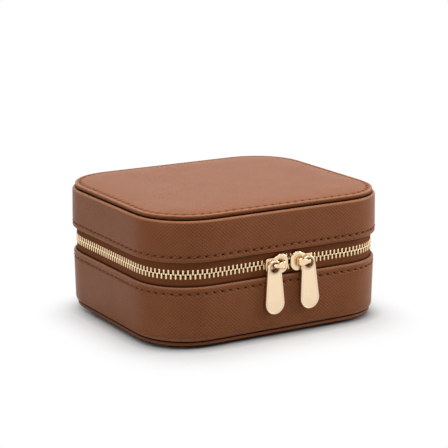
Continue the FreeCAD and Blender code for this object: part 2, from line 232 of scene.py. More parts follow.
# Colours, linear
leather_dark = (0.368, 0.125, 0.046, 1)
leather_light = (0.412, 0.145, 0.056, 1)
leather_groove = (0.120, 0.036, 0.012, 1)
# A pale edge colour for worn leather with a painted highlight, then the painted shade for needle holes,
# seams and folds
leather_rubbed_and_highlight = (0.550, 0.268, 0.150, 1)
leather_painted_shade = (0.100, 0.024, 0.005, 1)
thread_dark = (0.225, 0.072, 0.026, 1)
thread_light = (0.395, 0.140, 0.054, 1)
tape_dark = (0.168, 0.049, 0.013, 1)
tape_light = (0.440, 0.142, 0.047, 1)
# Painted shade where a tape goes behind its rim
tape_painted_shade = (0.050, 0.010, 0.002, 1)
tooth_gold = (0.920, 0.690, 0.420, 1)
pull_gold = (0.960, 0.745, 0.515, 1)
slider_gold = (0.940, 0.715, 0.465, 1)
# Painted shade in the metal's crevices and hollows
gold_painted_shade = (0.170, 0.078, 0.028, 1)
velvet_dark = (0.200, 0.125, 0.080, 1)
velvet_light = (0.330, 0.220, 0.150, 1)
roll_dark = (0.220, 0.140, 0.092, 1)
roll_light = (0.360, 0.245, 0.170, 1)
mirror_silver = (0.860, 0.880, 0.880, 1)
board_dark = (0.260, 0.210, 0.160, 1)
board_light = (0.420, 0.350, 0.280, 1)
foam_dark = (0.560, 0.520, 0.420, 1)
foam_light = (0.740, 0.700, 0.600, 1)
white = (1, 1, 1, 1)
black = (0, 0, 0, 1)

straight_x = half_width - corner_radius
straight_y = half_depth - corner_radius


# Points on the outline

def outline_length(inset):
    """Length round the case's outline at an inset."""
    return 4 * straight_x + 4 * straight_y + 2 * pi * (corner_radius - inset)


def drawn_corner(beyond):
    """How far the outline is drawn in near a corner's start, for a gentle bend."""
    scale = 12 * corner_ease * corner_radius
    if beyond < 0:
        return max(beyond + corner_ease, 0) ** 3 / scale
    return (2 * corner_ease ** 3 - max(corner_ease - beyond, 0) ** 3) / scale


def outline_place(distance, inset):
    """Point and outward direction at a distance along the outline, from the back's middle."""
    radius = corner_radius - inset
    distance %= outline_length(inset)
    quarter = pi / 2
    for turn in range(1, 6):
        out = Vector((cos(turn * quarter), sin(turn * quarter), 0))
        along = Vector((-out.y, out.x, 0))
        half, depth = (straight_x, straight_y) if turn % 2 else (straight_y, straight_x)
        start = 0 if turn == 1 else -half
        side = half if turn in (1, 5) else 2 * half
        if distance <= side:
            beside = start + distance
            return out * (depth + radius - drawn_corner(abs(beside) - half)) + along * beside, out
        distance -= side
        if distance <= radius * quarter:
            angle = turn * quarter + distance / radius
            turned = Vector((cos(angle), sin(angle), 0))
            beyond = min(distance, radius * quarter - distance)
            return out * depth + along * half + turned * (radius - drawn_corner(beyond)), turned
        distance -= radius * quarter
    return Vector((0, straight_y + radius, 0)), Vector((0, 1, 0))


def ring_at(stop, reference, rows):
    """Rows of (inset, z, v, wear_and_shading) at a stop on the outline, as (point, v, wear_and_shading).
    """
    place, out = outline_place(stop, reference)
    ring = []
    for inset, z, v, wear_and_shading in rows:
        moved = place + out * (reference - inset)
        ring.append((Vector((moved.x, moved.y, z)), v, wear_and_shading))
    return ring


def carried(section, reference, stops):
    """A section of (inset, z) carried along the outline: a ring at each stop."""
    rows = [(inset, z, z, 0) for inset, z in section]
    return [ring_at(stop, reference, rows) for stop in stops]


def even_stops(inset, step):
    """Evenly spaced distances round the whole outline at an inset."""
    total = outline_length(inset)
    return spread(0, total, round(total / step))[:-1]


def even_pitch(total):
    """The stitch pitch that divides a length evenly."""
    return total / round(total / stitch_pitch)


def stitch_stops(total):
    """Distances along a stitched line, closer together at each needle hole."""
    pitch = even_pitch(total)
    return [(i + share) * pitch for i in range(round(total / pitch)) for share in stitch_shares]


def sewn(along, across, total, hole_size, furrow):
    """How deep leather dips beside its stitches, and its share of a slanted needle hole."""
    pitch = even_pitch(total)
    beside = (along + pitch / 2) % pitch - pitch / 2
    slanted = across - hole_slant * beside
    hole = exp(-(slanted / hole_size[1]) ** 2 - (beside / hole_size[0]) ** 4)
    return furrow * exp(-(across / furrow_width) ** 2) + hole_depth * hole, hole


# Rounded sections

def between(first, second, share):
    """A value part of the way from one to another."""
    return first + (second - first) * share


def spread(start, end, count):
    """Evenly spaced values from a start to an end."""
    return [between(start, end, k / count) for k in range(count + 1)]


def arc(centre, back, up, start, end, steps):
    """Points on part of an ellipse, between angles in degrees; at 0 it points back."""
    turns = [radians(start + (end - start) * k / steps) for k in range(steps + 1)]
    return [(centre[0] - back * cos(turn), centre[1] + up * sin(turn)) for turn in turns]


def around(count, shift=0):
    """Evenly spaced directions round a circle, as (cosine, sine)."""
    turns = [2 * pi * (k + shift) / count for k in range(count)]
    return [(cos(turn), sin(turn)) for turn in turns]


def squared(share, power):
    """A cosine or sine moved outwards, to square off its circle."""
    return copysign(abs(share) ** power, share)


# Meshes

def add_object(name, data):
    """An object in the scene with its data."""
    holder = bpy.data.objects.new(name, data)
    bpy.context.scene.collection.objects.link(holder)
    return holder


def ring_corners(ring, marks, u):
    """Coordinates (u, v, wear_and_shading) of a ring's corners, and the first again; v and
    wear_and_shading come from marks.

    u and v are in millimetres. Where v is None, they are the point's own X, and its Y plus Z.
    """
    if marks[0][1] is None:
        corners = [(point.x / MM, (point.y + point.z) / MM, wear_and_shading) for point, _, wear_and_shading in ring]
        return corners + corners[:1]
    corners = [(u / MM, v / MM, wear_and_shading) for _, v, wear_and_shading in marks]
    return corners + [(u / MM, 2 * corners[-1][1] - corners[-2][1], corners[0][2])]


def skin(rings, closed=False, lengths=None, caps=True):
    """Points, faces and corner coordinates of a skin over closed rings of (point, v, wear_and_shading).

    A closed skin comes back to its first ring. Any other ends in flat faces, unless caps is off.
    """
    columns, rows = len(rings), len(rings[0])
    lengths = lengths or [0] * (columns + 1)
    faces = []
    surface = []
    for i in range(columns if closed else columns - 1):
        j = (i + 1) % columns
        near = ring_corners(rings[i], rings[i], lengths[i])
        far = ring_corners(rings[j], rings[i], lengths[i + 1])
        for r in range(rows):
            s = (r + 1) % rows
            faces.append((i * rows + r, j * rows + r, j * rows + s, i * rows + s))
            surface += (near[r], far[r], far[r + 1], near[r + 1])
    for i in (0, columns - 1) if caps and not closed else ():
        faces.append([i * rows + r for r in range(rows)])
        surface += ring_corners(rings[i], rings[i], lengths[i])[:-1]
    return [point for ring in rings for point, _, _ in ring], faces, surface


def layered(section, reference, step):
    """A skin with a ring round the case for each row of a section."""
    return skin(list(zip(*carried(section, reference, even_stops(reference, step)))))


def joined(skins):
    """One skin made of several."""
    vertices = []
    faces = []
    surface = []
    for points, polygons, corners in skins:
        faces += [[len(vertices) + place for place in polygon] for polygon in polygons]
        vertices += points
        surface += corners
    return vertices, faces, surface


def new_piece(name, material, *skins):
    """An object made of skins, facing outwards; triangles are flat, other faces smooth."""
    vertices, faces, surface = joined(skins)
    mesh = bpy.data.meshes.new(name)
    mesh.from_pydata(vertices, [], faces)
    layer = mesh.attributes.new("surface", "FLOAT_VECTOR", "CORNER")
    layer.data.foreach_set("vector", [value for corner in surface for value in corner])
    mesh.polygons.foreach_set("use_smooth", [len(face) > 3 for face in faces])
    mesh.materials.append(material)
    shape = bmesh.new()
    shape.from_mesh(mesh)
    bmesh.ops.recalc_face_normals(shape, faces=shape.faces)
    shape.to_mesh(mesh)
    shape.free()
    return add_object(name, mesh)


def put(piece, body, slot, *nodes):
    """Puts a piece on its body and in the place of the nodes it stands for."""
    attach(piece, body)
    if nodes:
        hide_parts(*nodes)
    return piece


# Shader nodes

def add(tree, kind, inputs=(), **settings):
    """The outputs of a new node, its inputs linked or set by place or by name."""
    node = tree.nodes.new("ShaderNode" + kind)
    for key, value in settings.items():
        setattr(node, key, value)
    for key, value in inputs.items() if isinstance(inputs, dict) else enumerate(inputs):
        if isinstance(value, bpy.types.NodeSocket):
            tree.links.new(value, node.inputs[key])
        elif value is not None:
            node.inputs[key].default_value = value
    return node.outputs


def calculate(operation, first, *others):
    """The result of a math node on a linked value and others."""
    return add(first.id_data, "Math", (first, *others), operation=operation)[0]


def vector(operation, first, *others):
    """The result of a vector math node: a number for a length or dot product."""
    outputs = add(first.id_data, "VectorMath", (first, *others), operation=operation)
    return outputs["Value" if operation in ("LENGTH", "DOT_PRODUCT") else "Vector"]


def mix(factor, first, second):
    """A colour between two colours."""
    return add(factor.id_data, "Mix", {0: factor, 6: first, 7: second}, data_type="RGBA")[2]


def remap(value, low, high, new_low=0, new_high=1):
    """A value moved from one range to another and held at its ends."""
    return add(value.id_data, "MapRange", (value, low, high, new_low, new_high))[0]


def noise(coordinates, scale, detail=3):
    """Soft noise from 0 to 1."""
    inputs = {"Vector": coordinates, "Scale": scale, "Detail": detail}
    return add(coordinates.id_data, "TexNoise", inputs)[0]


def surface_of(tree):
    """The mesh's surface coordinates in millimetres, and wear_and_shading: worn pale edges with a painted
    highlight above 0, painted shade below 0.
    """
    coordinates = add(tree, "Attribute", attribute_name="surface")["Vector"]
    wear_and_shading = add(tree, "SeparateXYZ", (coordinates,))[2]
    return vector("MULTIPLY", coordinates, (1, 1, 0)), wear_and_shading


def stripes(coordinates, direction, pitch):
    """Rounded ridges from 0 to 1 across a direction on the surface."""
    length = hypot(*direction)
    turn = [pi * d / length / pitch for d in direction] + [0]
    phase = vector("DOT_PRODUCT", coordinates, turn)
    return calculate("ABSOLUTE", calculate("SINE", phase))


def new_material(name):
    """An empty node material and its tree."""
    material = bpy.data.materials.new(name)
    material.use_nodes = True
    material.node_tree.nodes.clear()
    return material, material.node_tree


def finished(material, colour, roughness, others, height=None, bump=0, distance=0):
    """A material with its shader and output, and with a bump where it has a height."""
    tree = material.node_tree
    inputs = {"Base Color": colour, "Roughness": roughness, **others}
    if height is not None:
        relief = {"Height": height, "Strength": bump, "Distance": distance}
        inputs["Normal"] = add(tree, "Bump", relief)[0]
    add(tree, "OutputMaterial", (add(tree, "BsdfPrincipled", inputs)[0],))
    return material


# Materials

def leather_material():
    """Brown cross-grained leather, paler where worn with a painted highlight on its edges, and with
    painted shade in needle holes, seam grooves and the hem's fold.
    """
    material, tree = new_material("grained_leather")
    flat, wear_and_shading = surface_of(tree)
    drift = add(tree, "TexNoise", {"Vector": flat, "Scale": 0.25, "Detail": 2})["Color"]
    warped = vector("MULTIPLY_ADD", drift, (0.45, 0.45, 0), flat)
    rising = stripes(warped, (1, grain_slope), grain_pitch)
    falling = stripes(warped, (1, -grain_slope), grain_pitch)
    grain = calculate("POWER", calculate("MULTIPLY", rising, falling), 0.6)
    pores = noise(flat, 2.2, 4)
    mottle = noise(flat, 0.045, 3)
    tone = mix(remap(mottle, 0.3, 0.7), leather_dark, leather_light)
    raised = remap(grain, 0.1, 0.75)
    pressed = remap(noise(flat, 0.11, 2), 0.4, 0.6, 0.36, 0.52)
    tone = mix(raised, mix(pressed, tone, leather_groove), tone)
    tone = mix(remap(pores, 0.45, 0.75, 0, 0.35), tone, leather_groove)
    patchy = remap(pores, 0.3, 0.7, 0.35, 1)
    # Worn pale edges with a painted highlight
    rubbed_and_highlight = calculate("MULTIPLY", remap(wear_and_shading, 0, 1), patchy)
    tone = mix(rubbed_and_highlight, tone, leather_rubbed_and_highlight)
    # Painted shade in needle holes, seam grooves and the hem's fold
    tone = mix(remap(wear_and_shading, 0, -0.7), tone, leather_painted_shade)
    roughness = remap(calculate("MULTIPLY_ADD", pores, 0.4, raised), 0, 1.4, 0.62, 0.46)
    height = calculate("MULTIPLY_ADD", pores, 0.25, grain)
    others = {"Specular IOR Level": 0.1, "Coat Weight": 0.4, "Coat IOR": 1.2, "Coat Roughness": 0.3}
    return finished(material, tone, roughness, others, height, 1, 0.15 * MM)


def thread_material():
    """Brown waxed thread, twisted along its length."""
    material, tree = new_material("waxed_thread")
    flat, _ = surface_of(tree)
    twist = stripes(flat, (1, 0.7), 0.42)
    tone = mix(twist, thread_dark, thread_light)
    return finished(material, tone, 0.65, {"Specular IOR Level": 0.1}, twist, 0.5, 0.08 * MM)


def tape_material():
    """Dark brown zip tape with a herringbone weave, and painted shade where it goes behind its rim."""
    material, tree = new_material("zip_tape_weave")
    flat, wear_and_shading = surface_of(tree)
    along, up, _ = add(tree, "SeparateXYZ", (flat,))
    fold = calculate("PINGPONG", up, 1.6)
    zigzag = add(tree, "CombineXYZ", (along, fold, 0))[0]
    weave = stripes(zigzag, (1, 0.8), 0.45)
    fuzz = noise(flat, 3)
    tone = mix(calculate("MULTIPLY", weave, fuzz), tape_dark, tape_light)
    # Painted shade where the tape goes behind its rim
    tone = mix(remap(wear_and_shading, 0, -1), tone, tape_painted_shade)
    return finished(material, tone, 0.85, {"Specular IOR Level": 0.2}, weave, 0.6, 0.12 * MM)


def gold_material(name, colour, roughness):
    """Pale gold plating, lightly brushed, with painted shade in its crevices and hollows."""
    material, tree = new_material(name)
    position = add(tree, "TexCoord")["Object"]
    cloud = noise(position, 260)
    brushed = noise(vector("MULTIPLY", position, (4000, 4000, 500)), 1, 2)
    gloss = remap(calculate("ADD", cloud, brushed), 0.6, 1.4, roughness * 0.8, roughness * 1.25)
    tone = mix(cloud, colour, [c * 0.93 for c in colour[:3]] + [1])
    _, wear_and_shading = surface_of(tree)
    # Painted shade in crevices, hollows and between teeth
    tone = mix(remap(wear_and_shading, 0, -1), tone, gold_painted_shade)
    return finished(material, tone, gloss, {"Metallic": 1}, brushed, 0.05, 0.02 * MM)


def velvet_material(name, dark, light):
    """Short velvet pile, brushed this way and that."""
    material, tree = new_material(name)
    position = add(tree, "TexCoord")["Object"]
    pile = noise(position, 5200, 2)
    brushed = noise(position, 70, 2)
    tone = mix(remap(brushed, 0.35, 0.65), dark, light)
    tone = mix(calculate("MULTIPLY", pile, 0.45), tone, dark)
    others = {"Sheen Weight": 0.6, "Sheen Roughness": 0.35, "Sheen Tint": light}
    return finished(material, tone, 0.92, others, pile, 0.5, 0.2 * MM)


def mirror_material():
    """Silvered glass with a faint bloom."""
    material, tree = new_material("silvered_glass")
    bloom = remap(noise(add(tree, "TexCoord")["Object"], 35), 0.35, 0.75, 0.015, 0.05)
    return finished(material, mirror_silver, bloom, {"Metallic": 1})


def core_material(name, texture, scale, colours, roughness, bump, distance):
    """Pressed board or foam: fibres or cells between two colours."""
    material, tree = new_material(name)
    pattern = add(tree, texture, {"Vector": add(tree, "TexCoord")["Object"], **scale})[0]
    return finished(material, mix(pattern, *colours), roughness, {}, pattern, bump, distance)


leather = leather_material()
thread = thread_material()
tape_weave = tape_material()
tooth_metal = gold_material("tooth_metal", tooth_gold, 0.22)
pull_metal = gold_material("pull_metal", pull_gold, 0.3)
slider_metal = gold_material("slider_metal", slider_gold, 0.18)
velvet = velvet_material("velvet_lining", velvet_dark, velvet_light)
roll_velvet = velvet_material("velvet_roll", roll_dark, roll_light)
mirror_glass = mirror_material()
board = core_material("pressed_board", "TexNoise", {"Scale": 900, "Detail": 5},
                      (board_dark, board_light), 0.9, 0.3, 0.1 * MM)
foam = core_material("padding_foam", "TexVoronoi", {"Scale": 1400},
                     (foam_dark, foam_light), 0.95, 0.6, 0.3 * MM)


# Leather walls and panels

def wall_profile(rim, panel_edge, hem_end, stitch, rounding, outer):
    """Closed section of a leather wall, as (inset, z, wear_and_shading); rows by the stitches have None
    there.
    """
    way = 1 if panel_edge > rim else -1
    height = abs(panel_edge - rim)
    hem = abs(hem_end - rim)
    end = height - rounding

    def face(up):
        return between(*outer, min(max(up / height, 0), 1))

    shoulder = face(end) + rounding
    inner = arc((rim_fold, hem_rounding), rim_fold - hem_inset, -hem_rounding, 0, 90, 4)
    fold = arc((rim_fold + outer[0], rim_fold), rim_fold, -rim_fold, 90, 0, 6)[1:]
    edge = arc((shoulder, end), rounding, rounding, 0, 90, 6)
    # The hem's inner fold: painted shade where it turns in, slightly pale at its top
    section = [(*place, wear_and_shading) for place, wear_and_shading in zip(inner, (-0.7, -0.7, -0.5, -0.1, 0.2))]
    # The rim's fold: worn pale with a painted highlight that fades down the fold
    section += [(*place, max(0.8 - 0.05 * k ** 2, 0)) for k, place in enumerate(fold)]
    section += [(face(stitch), stitch + across, None) for across in stitch_rows]
    section += [(face(up), up, 0) for up in spread(stitch + 2 * MM, end, 8)[:-1]]
    # The top edge's rounding: worn pale with a painted highlight, strongest halfway round
    section += [(*place, 0.75 * sin(pi * k / 6)) for k, place in enumerate(edge)]
    groove, inside = height - groove_depth, height - leather_thickness
    # Painted shade in the groove under the panel's edge
    section += [(shoulder + 0.5 * MM, height - 0.15 * MM, -0.6), (shoulder + MM, groove, -0.8),
                (turn_in, groove, -0.8), (turn_in, inside, 0), (leather_thickness, inside, 0),
                (leather_thickness, hem, 0), (hem_inset, hem, 0)]
    return [(inset, rim + way * up, wear_and_shading) for inset, up, wear_and_shading in section]


def leather_wall(name, rim, panel_edge, hem_end, stitch, rounding, outer):
    """A leather wall round the case, drawn in along its row of stitches."""
    total = outline_length(0)
    stops = stitch_stops(total)
    section = wall_profile(rim, panel_edge, hem_end, stitch, rounding, outer)
    rings = []
    for stop in stops:
        rows = []
        for inset, z, wear_and_shading in section:
            if wear_and_shading is None:
                dip, hole = sewn(stop, abs(z - rim) - stitch, total, wall_hole, furrow_depth)
                inset += dip
                # Painted shade in each needle hole
                wear_and_shading = -hole
            rows.append((inset, z, z, wear_and_shading))
        rings.append(ring_at(stop, 0, rows))
    return new_piece(name, leather, skin(rings, closed=True, lengths=stops + [total]))


def crown_share(inward):
    """How much of a panel's crown has risen at a distance in from its edge."""
    return sin(min(max(inward / crown_width, 0), 1) * pi / 2)


def panel(name, seat, edge, way, outer, rounding, crown):
    """A stitched leather panel: a tucked-under edge, a furrow under the stitches and a low crown.

    The top panel's edge is worn pale with a painted highlight; the bottom panel's has painted shade where
    it meets the floor, and both have painted shade under the tuck and in the needle holes.
    """
    total = outline_length(panel_stitch)
    belly = seat + way * groove_height
    # The rolled edge: worn pale with a painted highlight on the top panel, painted shade by the floor on
    # the bottom panel
    edge_light_and_shade = 1 if way > 0 else -floor_edge_shade
    rolled = arc((outer + rounding, edge - way * rounding), rounding, way * rounding, 0, 90, 5)
    # Painted shade in the seam under the tucked edge
    section = [(outer + panel_tuck, seat - way * 0.3 * MM, -0.8),
               (outer + 0.8 * panel_tuck, belly - way * 0.15 * MM, -0.8),
               (outer + 0.35 * panel_tuck, belly, -0.7),
               (outer + 0.08 * panel_tuck, belly + way * 0.15 * MM, -0.3)]
    section += [(*place, edge_light_and_shade * sin(pi * k / 10)) for k, place in enumerate(rolled)]
    section += [(panel_stitch + across, edge, None) for across in stitch_rows]
    section += [(inset, edge, 0) for inset in crown_rows]
    rings = []
    for stop in stitch_stops(total):
        rows = []
        for inset, z, wear_and_shading in section:
            z += way * crown * crown_share(inset - outer - rounding)
            if wear_and_shading is None:
                dip, hole = sewn(stop, inset - panel_stitch, total, panel_hole, panel_furrow_depth)
                z -= way * dip
                # Painted shade in each needle hole
                wear_and_shading = -panel_hole_shade * hole
            rows.append((inset, z, None, wear_and_shading))
        rings.append(ring_at(stop, panel_stitch, rows))
    return new_piece(name, leather, skin(list(zip(*rings))))


# Stitching

def stitch_row(name, line, inset, z, way=0):
    """A row of slanted stitches, each a thread that dives into its two needle holes.

    The row follows a line on the outline, on a wall, or on a panel that faces up or down by way.
    """
    total = outline_length(line)
    pitch = even_pitch(total)
    shares = spread(0, 1, 8)
    lengths = [pitch * share for share in shares]
    stitches = []
    for number in range(round(total / pitch)):
        rings = []
        for share in shares:
            stop = (number + between(thread_start, 1 - thread_start, share)) * pitch
            place, out = outline_place(stop, line)
            outward, aside = (Vector((0, 0, way)), -out) if way else (out, Vector((0, 0, 1)))
            arch = sin(pi * share)
            lift = thread_rise * arch ** 0.4 - thread_dive - furrow_depth
            centre = place - out * inset + Vector((0, 0, z)) + outward * lift
            centre += aside * thread_slant * (2 * share - 1)
            sideways = Vector((-out.y, out.x, 0)).cross(outward)
            radius = thread_radius * (0.75 + 0.25 * arch)
            points = [centre + (outward * up + sideways * across) * radius for across, up in around(8)]
            rings.append([(point, thread_round * k / 8, 0) for k, point in enumerate(points)])
        stitches.append(skin(rings, lengths=lengths))
    return new_piece(name, thread, *stitches)


# Zip: distances of the chain's ends and of the sliders' meeting, from the middle of the back
chain_start = straight_x + (corner_radius - chain_inset) * hinge_corner
chain_end = outline_length(chain_inset) - chain_start
meeting_stop = outline_length(chain_inset) / 2 + meeting_x


def parting(stop):
    """How far the chain is open at a stop on its line."""
    past = (abs(stop - meeting_stop) - parted_length) / parting_ramp
    return chain_parting * (1 - min(max(past, 0), 1))


def zip_tape(name, rim, hem_end, way, shade):
    """One tape, from inside the hem to the edge under the teeth, with painted shade behind the rim."""
    stops = spread(chain_start, chain_end, round((chain_end - chain_start) / tape_step))
    half = (tape_inner - tape_outer) / 2
    rings = []
    for stop in stops:
        drawn = min(1, 0.1 + min(stop - chain_start, chain_end - stop) / tape_end)
        edge = zip_centre + way * (drawn * tape_edge + parting(stop))
        rows = [(tape_outer, hem_end, abs(hem_end - edge), 0)]
        # Painted shade on the tape near its rim
        for rise, dark in tape_shades:
            z = rim - way * rise * MM
            rows.append((tape_outer, z, abs(z - edge), -shade * dark))
        rounded = arc((chain_inset, edge + way * half), half, -way * half, 30, 150, 4)
        rows += [(inset, z, 0, 0) for inset, z in rounded]
        rows += [(tape_inner, edge + way * MM, -MM, 0), (tape_inner, hem_end, -abs(hem_end - edge), 0)]
        rings.append(ring_at(stop, chain_inset, rows))
    return new_piece(name, tape_weave, skin(rings, lengths=stops))


# A tooth's sections from its legs to its head, as (height, width, depth)
tooth_rings = ((tooth_length, 0.55 * tooth_width, 0.7 * tooth_depth),
               (tooth_length - 0.12 * MM, 0.82 * tooth_width, 0.86 * tooth_depth),
               (tooth_length - 0.4 * MM, tooth_width, 0.97 * tooth_depth),
               (1.3 * MM, tooth_width, tooth_depth),
               (0.55 * MM, 0.92 * tooth_width, 0.95 * tooth_depth),
               (0.3 * MM, tooth_head, 0.86 * tooth_depth),
               (0, tooth_head, 0.8 * tooth_depth),
               (-0.25 * MM, 0.9 * tooth_head, 0.66 * tooth_depth),
               (-tooth_reach, 0.6 * tooth_head, 0.42 * tooth_depth))


def zip_teeth(name, way):
    """A row of metal teeth: slim legs on the tape's edge, and broader heads that mesh."""
    phase = 0.75 if way > 0 else 0.25
    first = ceil((chain_start + chain_end_margin - meeting_stop) / tooth_pitch - phase)
    last = floor((chain_end - chain_end_margin - meeting_stop) / tooth_pitch - phase)
    teeth = []
    for number in range(first, last + 1):
        stop = meeting_stop + (number + phase) * tooth_pitch
        place, out = outline_place(stop, chain_inset)
        along = Vector((-out.y, out.x, 0))
        rings = []
        for height, width, depth in tooth_rings:
            centre = place + Vector((0, 0, zip_centre + way * (parting(stop) + height)))
            ring = []
            for across, front in around(12, 0.5):
                beside = along * (squared(across, tooth_power) * width / 2)
                forward = out * (squared(front, tooth_power) * depth / 2)
                # Painted shade on each tooth, darker away from its front face
                ring.append((centre + beside + forward, 0, min(0, 2.2 * front - 1.5)))
            rings.append(ring)
        teeth.append(skin(rings))
    return new_piece(name, tooth_metal, *teeth)


# Sliders, bridges and pull tabs

def slider_outline():
    """Outline of a slider's plate, as (distance from the nose, height)."""
    nose, tail = slider_nose_round, slider_tail_round
    upper = arc((nose, slider_nose_half - nose), nose, nose, 0, 90, 6)
    for share in spread(0, 1, 8):
        height = between(slider_nose_half, slider_tail_half, (1 - cos(pi * share)) / 2)
        upper.append((slider_nose_length + slider_shoulder * share, height))
    upper += arc((slider_length - tail, slider_tail_half - tail), -tail, tail, 90, 0, 4)
    return upper + [(away, -height) for away, height in reversed(upper)]


def drawn_in(outline, inset):
    """An outline moved inwards along its normals, whichever way round it runs."""
    ahead = outline[1:] + outline[:1]
    area = sum(first[0] * second[1] - second[0] * first[1] for first, second in zip(outline, ahead))
    move = copysign(inset, area)
    moved = []
    for i, ((x, y), after) in enumerate(zip(outline, ahead)):
        before = outline[i - 1]
        run = Vector((after[0] - before[0], after[1] - before[1])).normalized()
        moved.append((x - run.y * move, y + run.x * move))
    return moved


def plate(thickness, point):
    """Skin of a slider's plate, with a low dome; point(x, y, depth) places it."""
    outline = slider_outline()
    rings = [[(point(x, y, 0), None, 0) for x, y in outline]]
    rim = arc((plate_rounding, thickness - plate_rounding), plate_rounding, plate_rounding, 0, 90, 5)
    for inset, depth in rim:
        rings.append([(point(x, y, depth), None, 0) for x, y in drawn_in(outline, inset)])
    inner = drawn_in(outline, plate_rounding)
    # Painted shade on the plate's middle, under the bridge
    for scale, wear_and_shading in ((0.88, 0), (0.66, -0.3), (0.42, -0.8), (0.18, -0.8)):
        depth = thickness + plate_dome * (1 - scale ** 2)
        moved = [(between(plate_centre, x, scale), y * scale) for x, y in inner]
        rings.append([(point(x, y, depth), None, wear_and_shading) for x, y in moved])
    return skin(rings)


def rail(way, depth, point):
    """Skin of a rail along one edge of a slider, down to a depth."""
    edge = [corner for corner in slider_outline() if corner[1] * way > 0 and corner[0] > rail_start]
    rings = []
    for away, height in sorted(edge):
        outer = height - way * rail_inset
        inner = outer - way * rail_width
        corners = ((outer, -depth), (outer, joint_overlap), (inner, joint_overlap), (inner, -depth))
        rings.append([(point(away, *corner), 0, 0) for corner in corners])
    return skin(rings)


def slider(name, nose, way):
    """A slider: two plates, four rails and the post that parts the chain."""
    front_face = slider_front + plate_dome + front_plate
    rear_face = slider_rear - plate_dome - rear_plate

    def placer(face, towards):
        def point(away, height, depth):
            return Vector((nose + way * away, face + towards * depth, zip_centre + height))
        return point

    front, rear = placer(front_face, -1), placer(rear_face, 1)
    inside = rear_face - front_face
    skins = [plate(front_plate, front), plate(rear_plate, rear)]
    for side in (1, -1):
        skins += [rail(side, (inside - rail_gap) / 2, point) for point in (front, rear)]
    post = [[(front(away, height, level), None, 0) for away, height in post_section]
            for level in (joint_overlap, -inside)]
    return new_piece(name, slider_metal, *skins, skin(post))


def bridge_path():
    """Middle line of a bridge: (distance from the nose, height, width, thickness)."""
    nose, outer = bridge_nose_bend, bridge_outer_bend
    rise = slider_front - bridge_top - bridge_bar / 2
    start, end = bridge_nose_leg + nose, bridge_outer_leg - outer
    path = [(bridge_nose_leg, -bridge_foot, bridge_nose_width, bridge_nose_bar)]
    for k, (away, height) in enumerate(arc((start, rise - nose), nose, nose, 0, 90, 6)):
        width = between(bridge_nose_width, bridge_bend_width, k / 6)
        path.append((away, height, width, between(bridge_nose_bar, bridge_bar, k / 6)))
    for share in spread(0, 1, 6)[1:-1]:
        width = between(bridge_bend_width, bridge_width, (1 - cos(pi * share)) / 2)
        path.append((between(start, end, share), rise, width, bridge_bar))
    for k, (away, height) in enumerate(arc((end, rise - outer), -outer, outer, 90, 0, 6)):
        path.append((away, height, bridge_width, between(bridge_bar, bridge_outer_bar, k / 6)))
    path.append((bridge_outer_leg, -bridge_foot, bridge_width, bridge_outer_bar))
    return path


def bridge(name, nose, way):
    """The arch that holds a pull: broad at the nose, a slim round bar at the pull."""
    path = bridge_path()
    rings = []
    for i, (away, height, width, thickness) in enumerate(path):
        before, after = path[max(i - 1, 0)], path[min(i + 1, len(path) - 1)]
        run = Vector((after[0] - before[0], after[1] - before[1])).normalized()
        ring = []
        for across, front in around(20):
            beside = squared(across, bridge_power) * width / 2
            over = squared(front, bridge_power) * thickness / 2
            point = Vector((nose + way * (away - run.y * over), slider_front - height - run.x * over,
                            zip_centre + beside))
            # Painted shade on the side of the bridge that faces the slider
            ring.append((point, 0, min(0, 1.2 * front + 0.3)))
        rings.append(ring)
    return new_piece(name, slider_metal, skin(rings))


def pull_outline():
    """Paddle outline, as (x, z): the eye's circle, the end's circle and their tangents."""
    lean = degrees(asin((pull_end_radius - pull_eye_radius) / pull_eye_to_end))
    eye = arc((0, 0), -pull_eye_radius, pull_eye_radius, lean, 180 - lean, 24)
    end = arc((0, -pull_eye_to_end), -pull_end_radius, pull_end_radius, 180 - lean, 360 + lean, 36)
    return eye + end


def pull_levels(half):
    """Edge section of a pull, as (inset, depth, wear_and_shading): a border and a sunk face, with painted
    shade at the foot of the border's step.
    """
    front = [(0, half - 0.45 * MM, 0), (0.05 * MM, half - 0.24 * MM, 0), (0.18 * MM, half - 0.08 * MM, 0),
             (pull_edge, half, 0), (0.62 * MM, half, 0), (0.98 * MM, half - pull_recess, -0.2),
             (1.25 * MM, half - pull_recess, 0)]
    return [(inset, -depth, wear_and_shading) for inset, depth, wear_and_shading in reversed(front)] + front


def pull_paddle(half):
    """Skin of the paddle with its hole, about the eye's middle, with the depth along Y."""
    levels = pull_levels(half)
    outline = pull_outline()
    outer = [[(Vector((x, depth, z)), None, wear_and_shading) for x, z in drawn_in(outline, inset)]
             for inset, depth, wear_and_shading in levels]
    # The hole has no border, so its section takes each of the border's steps only once.
    steps = dict.fromkeys((pull_hole_radius + min(inset, pull_edge), depth) for inset, depth, _ in levels)
    # Painted shade inside the hole
    hole = [[(Vector((radius * x, depth, radius * z)), None, -0.8) for x, z in around(40)]
            for radius, depth in steps]
    points, faces, surface = joined([skin(outer, caps=False), skin(hole, caps=False)])
    # Each face of the paddle spans the space between the end loops of its edge and of its hole.
    edge, bore, first = len(outline), len(hole[0]), len(outline) * len(levels)
    for loops in ((range(edge), range(first, first + bore)),
                  (range(first - edge, first), range(len(points) - bore, len(points)))):
        places = [*loops[0], *loops[1]]
        triangles = tessellate_polygon([[points[place] for place in loop] for loop in loops])
        faces += [[places[corner] for corner in triangle] for triangle in triangles]
        surface += [(0, 0, 0)] * (3 * len(triangles))
    return points, faces, surface


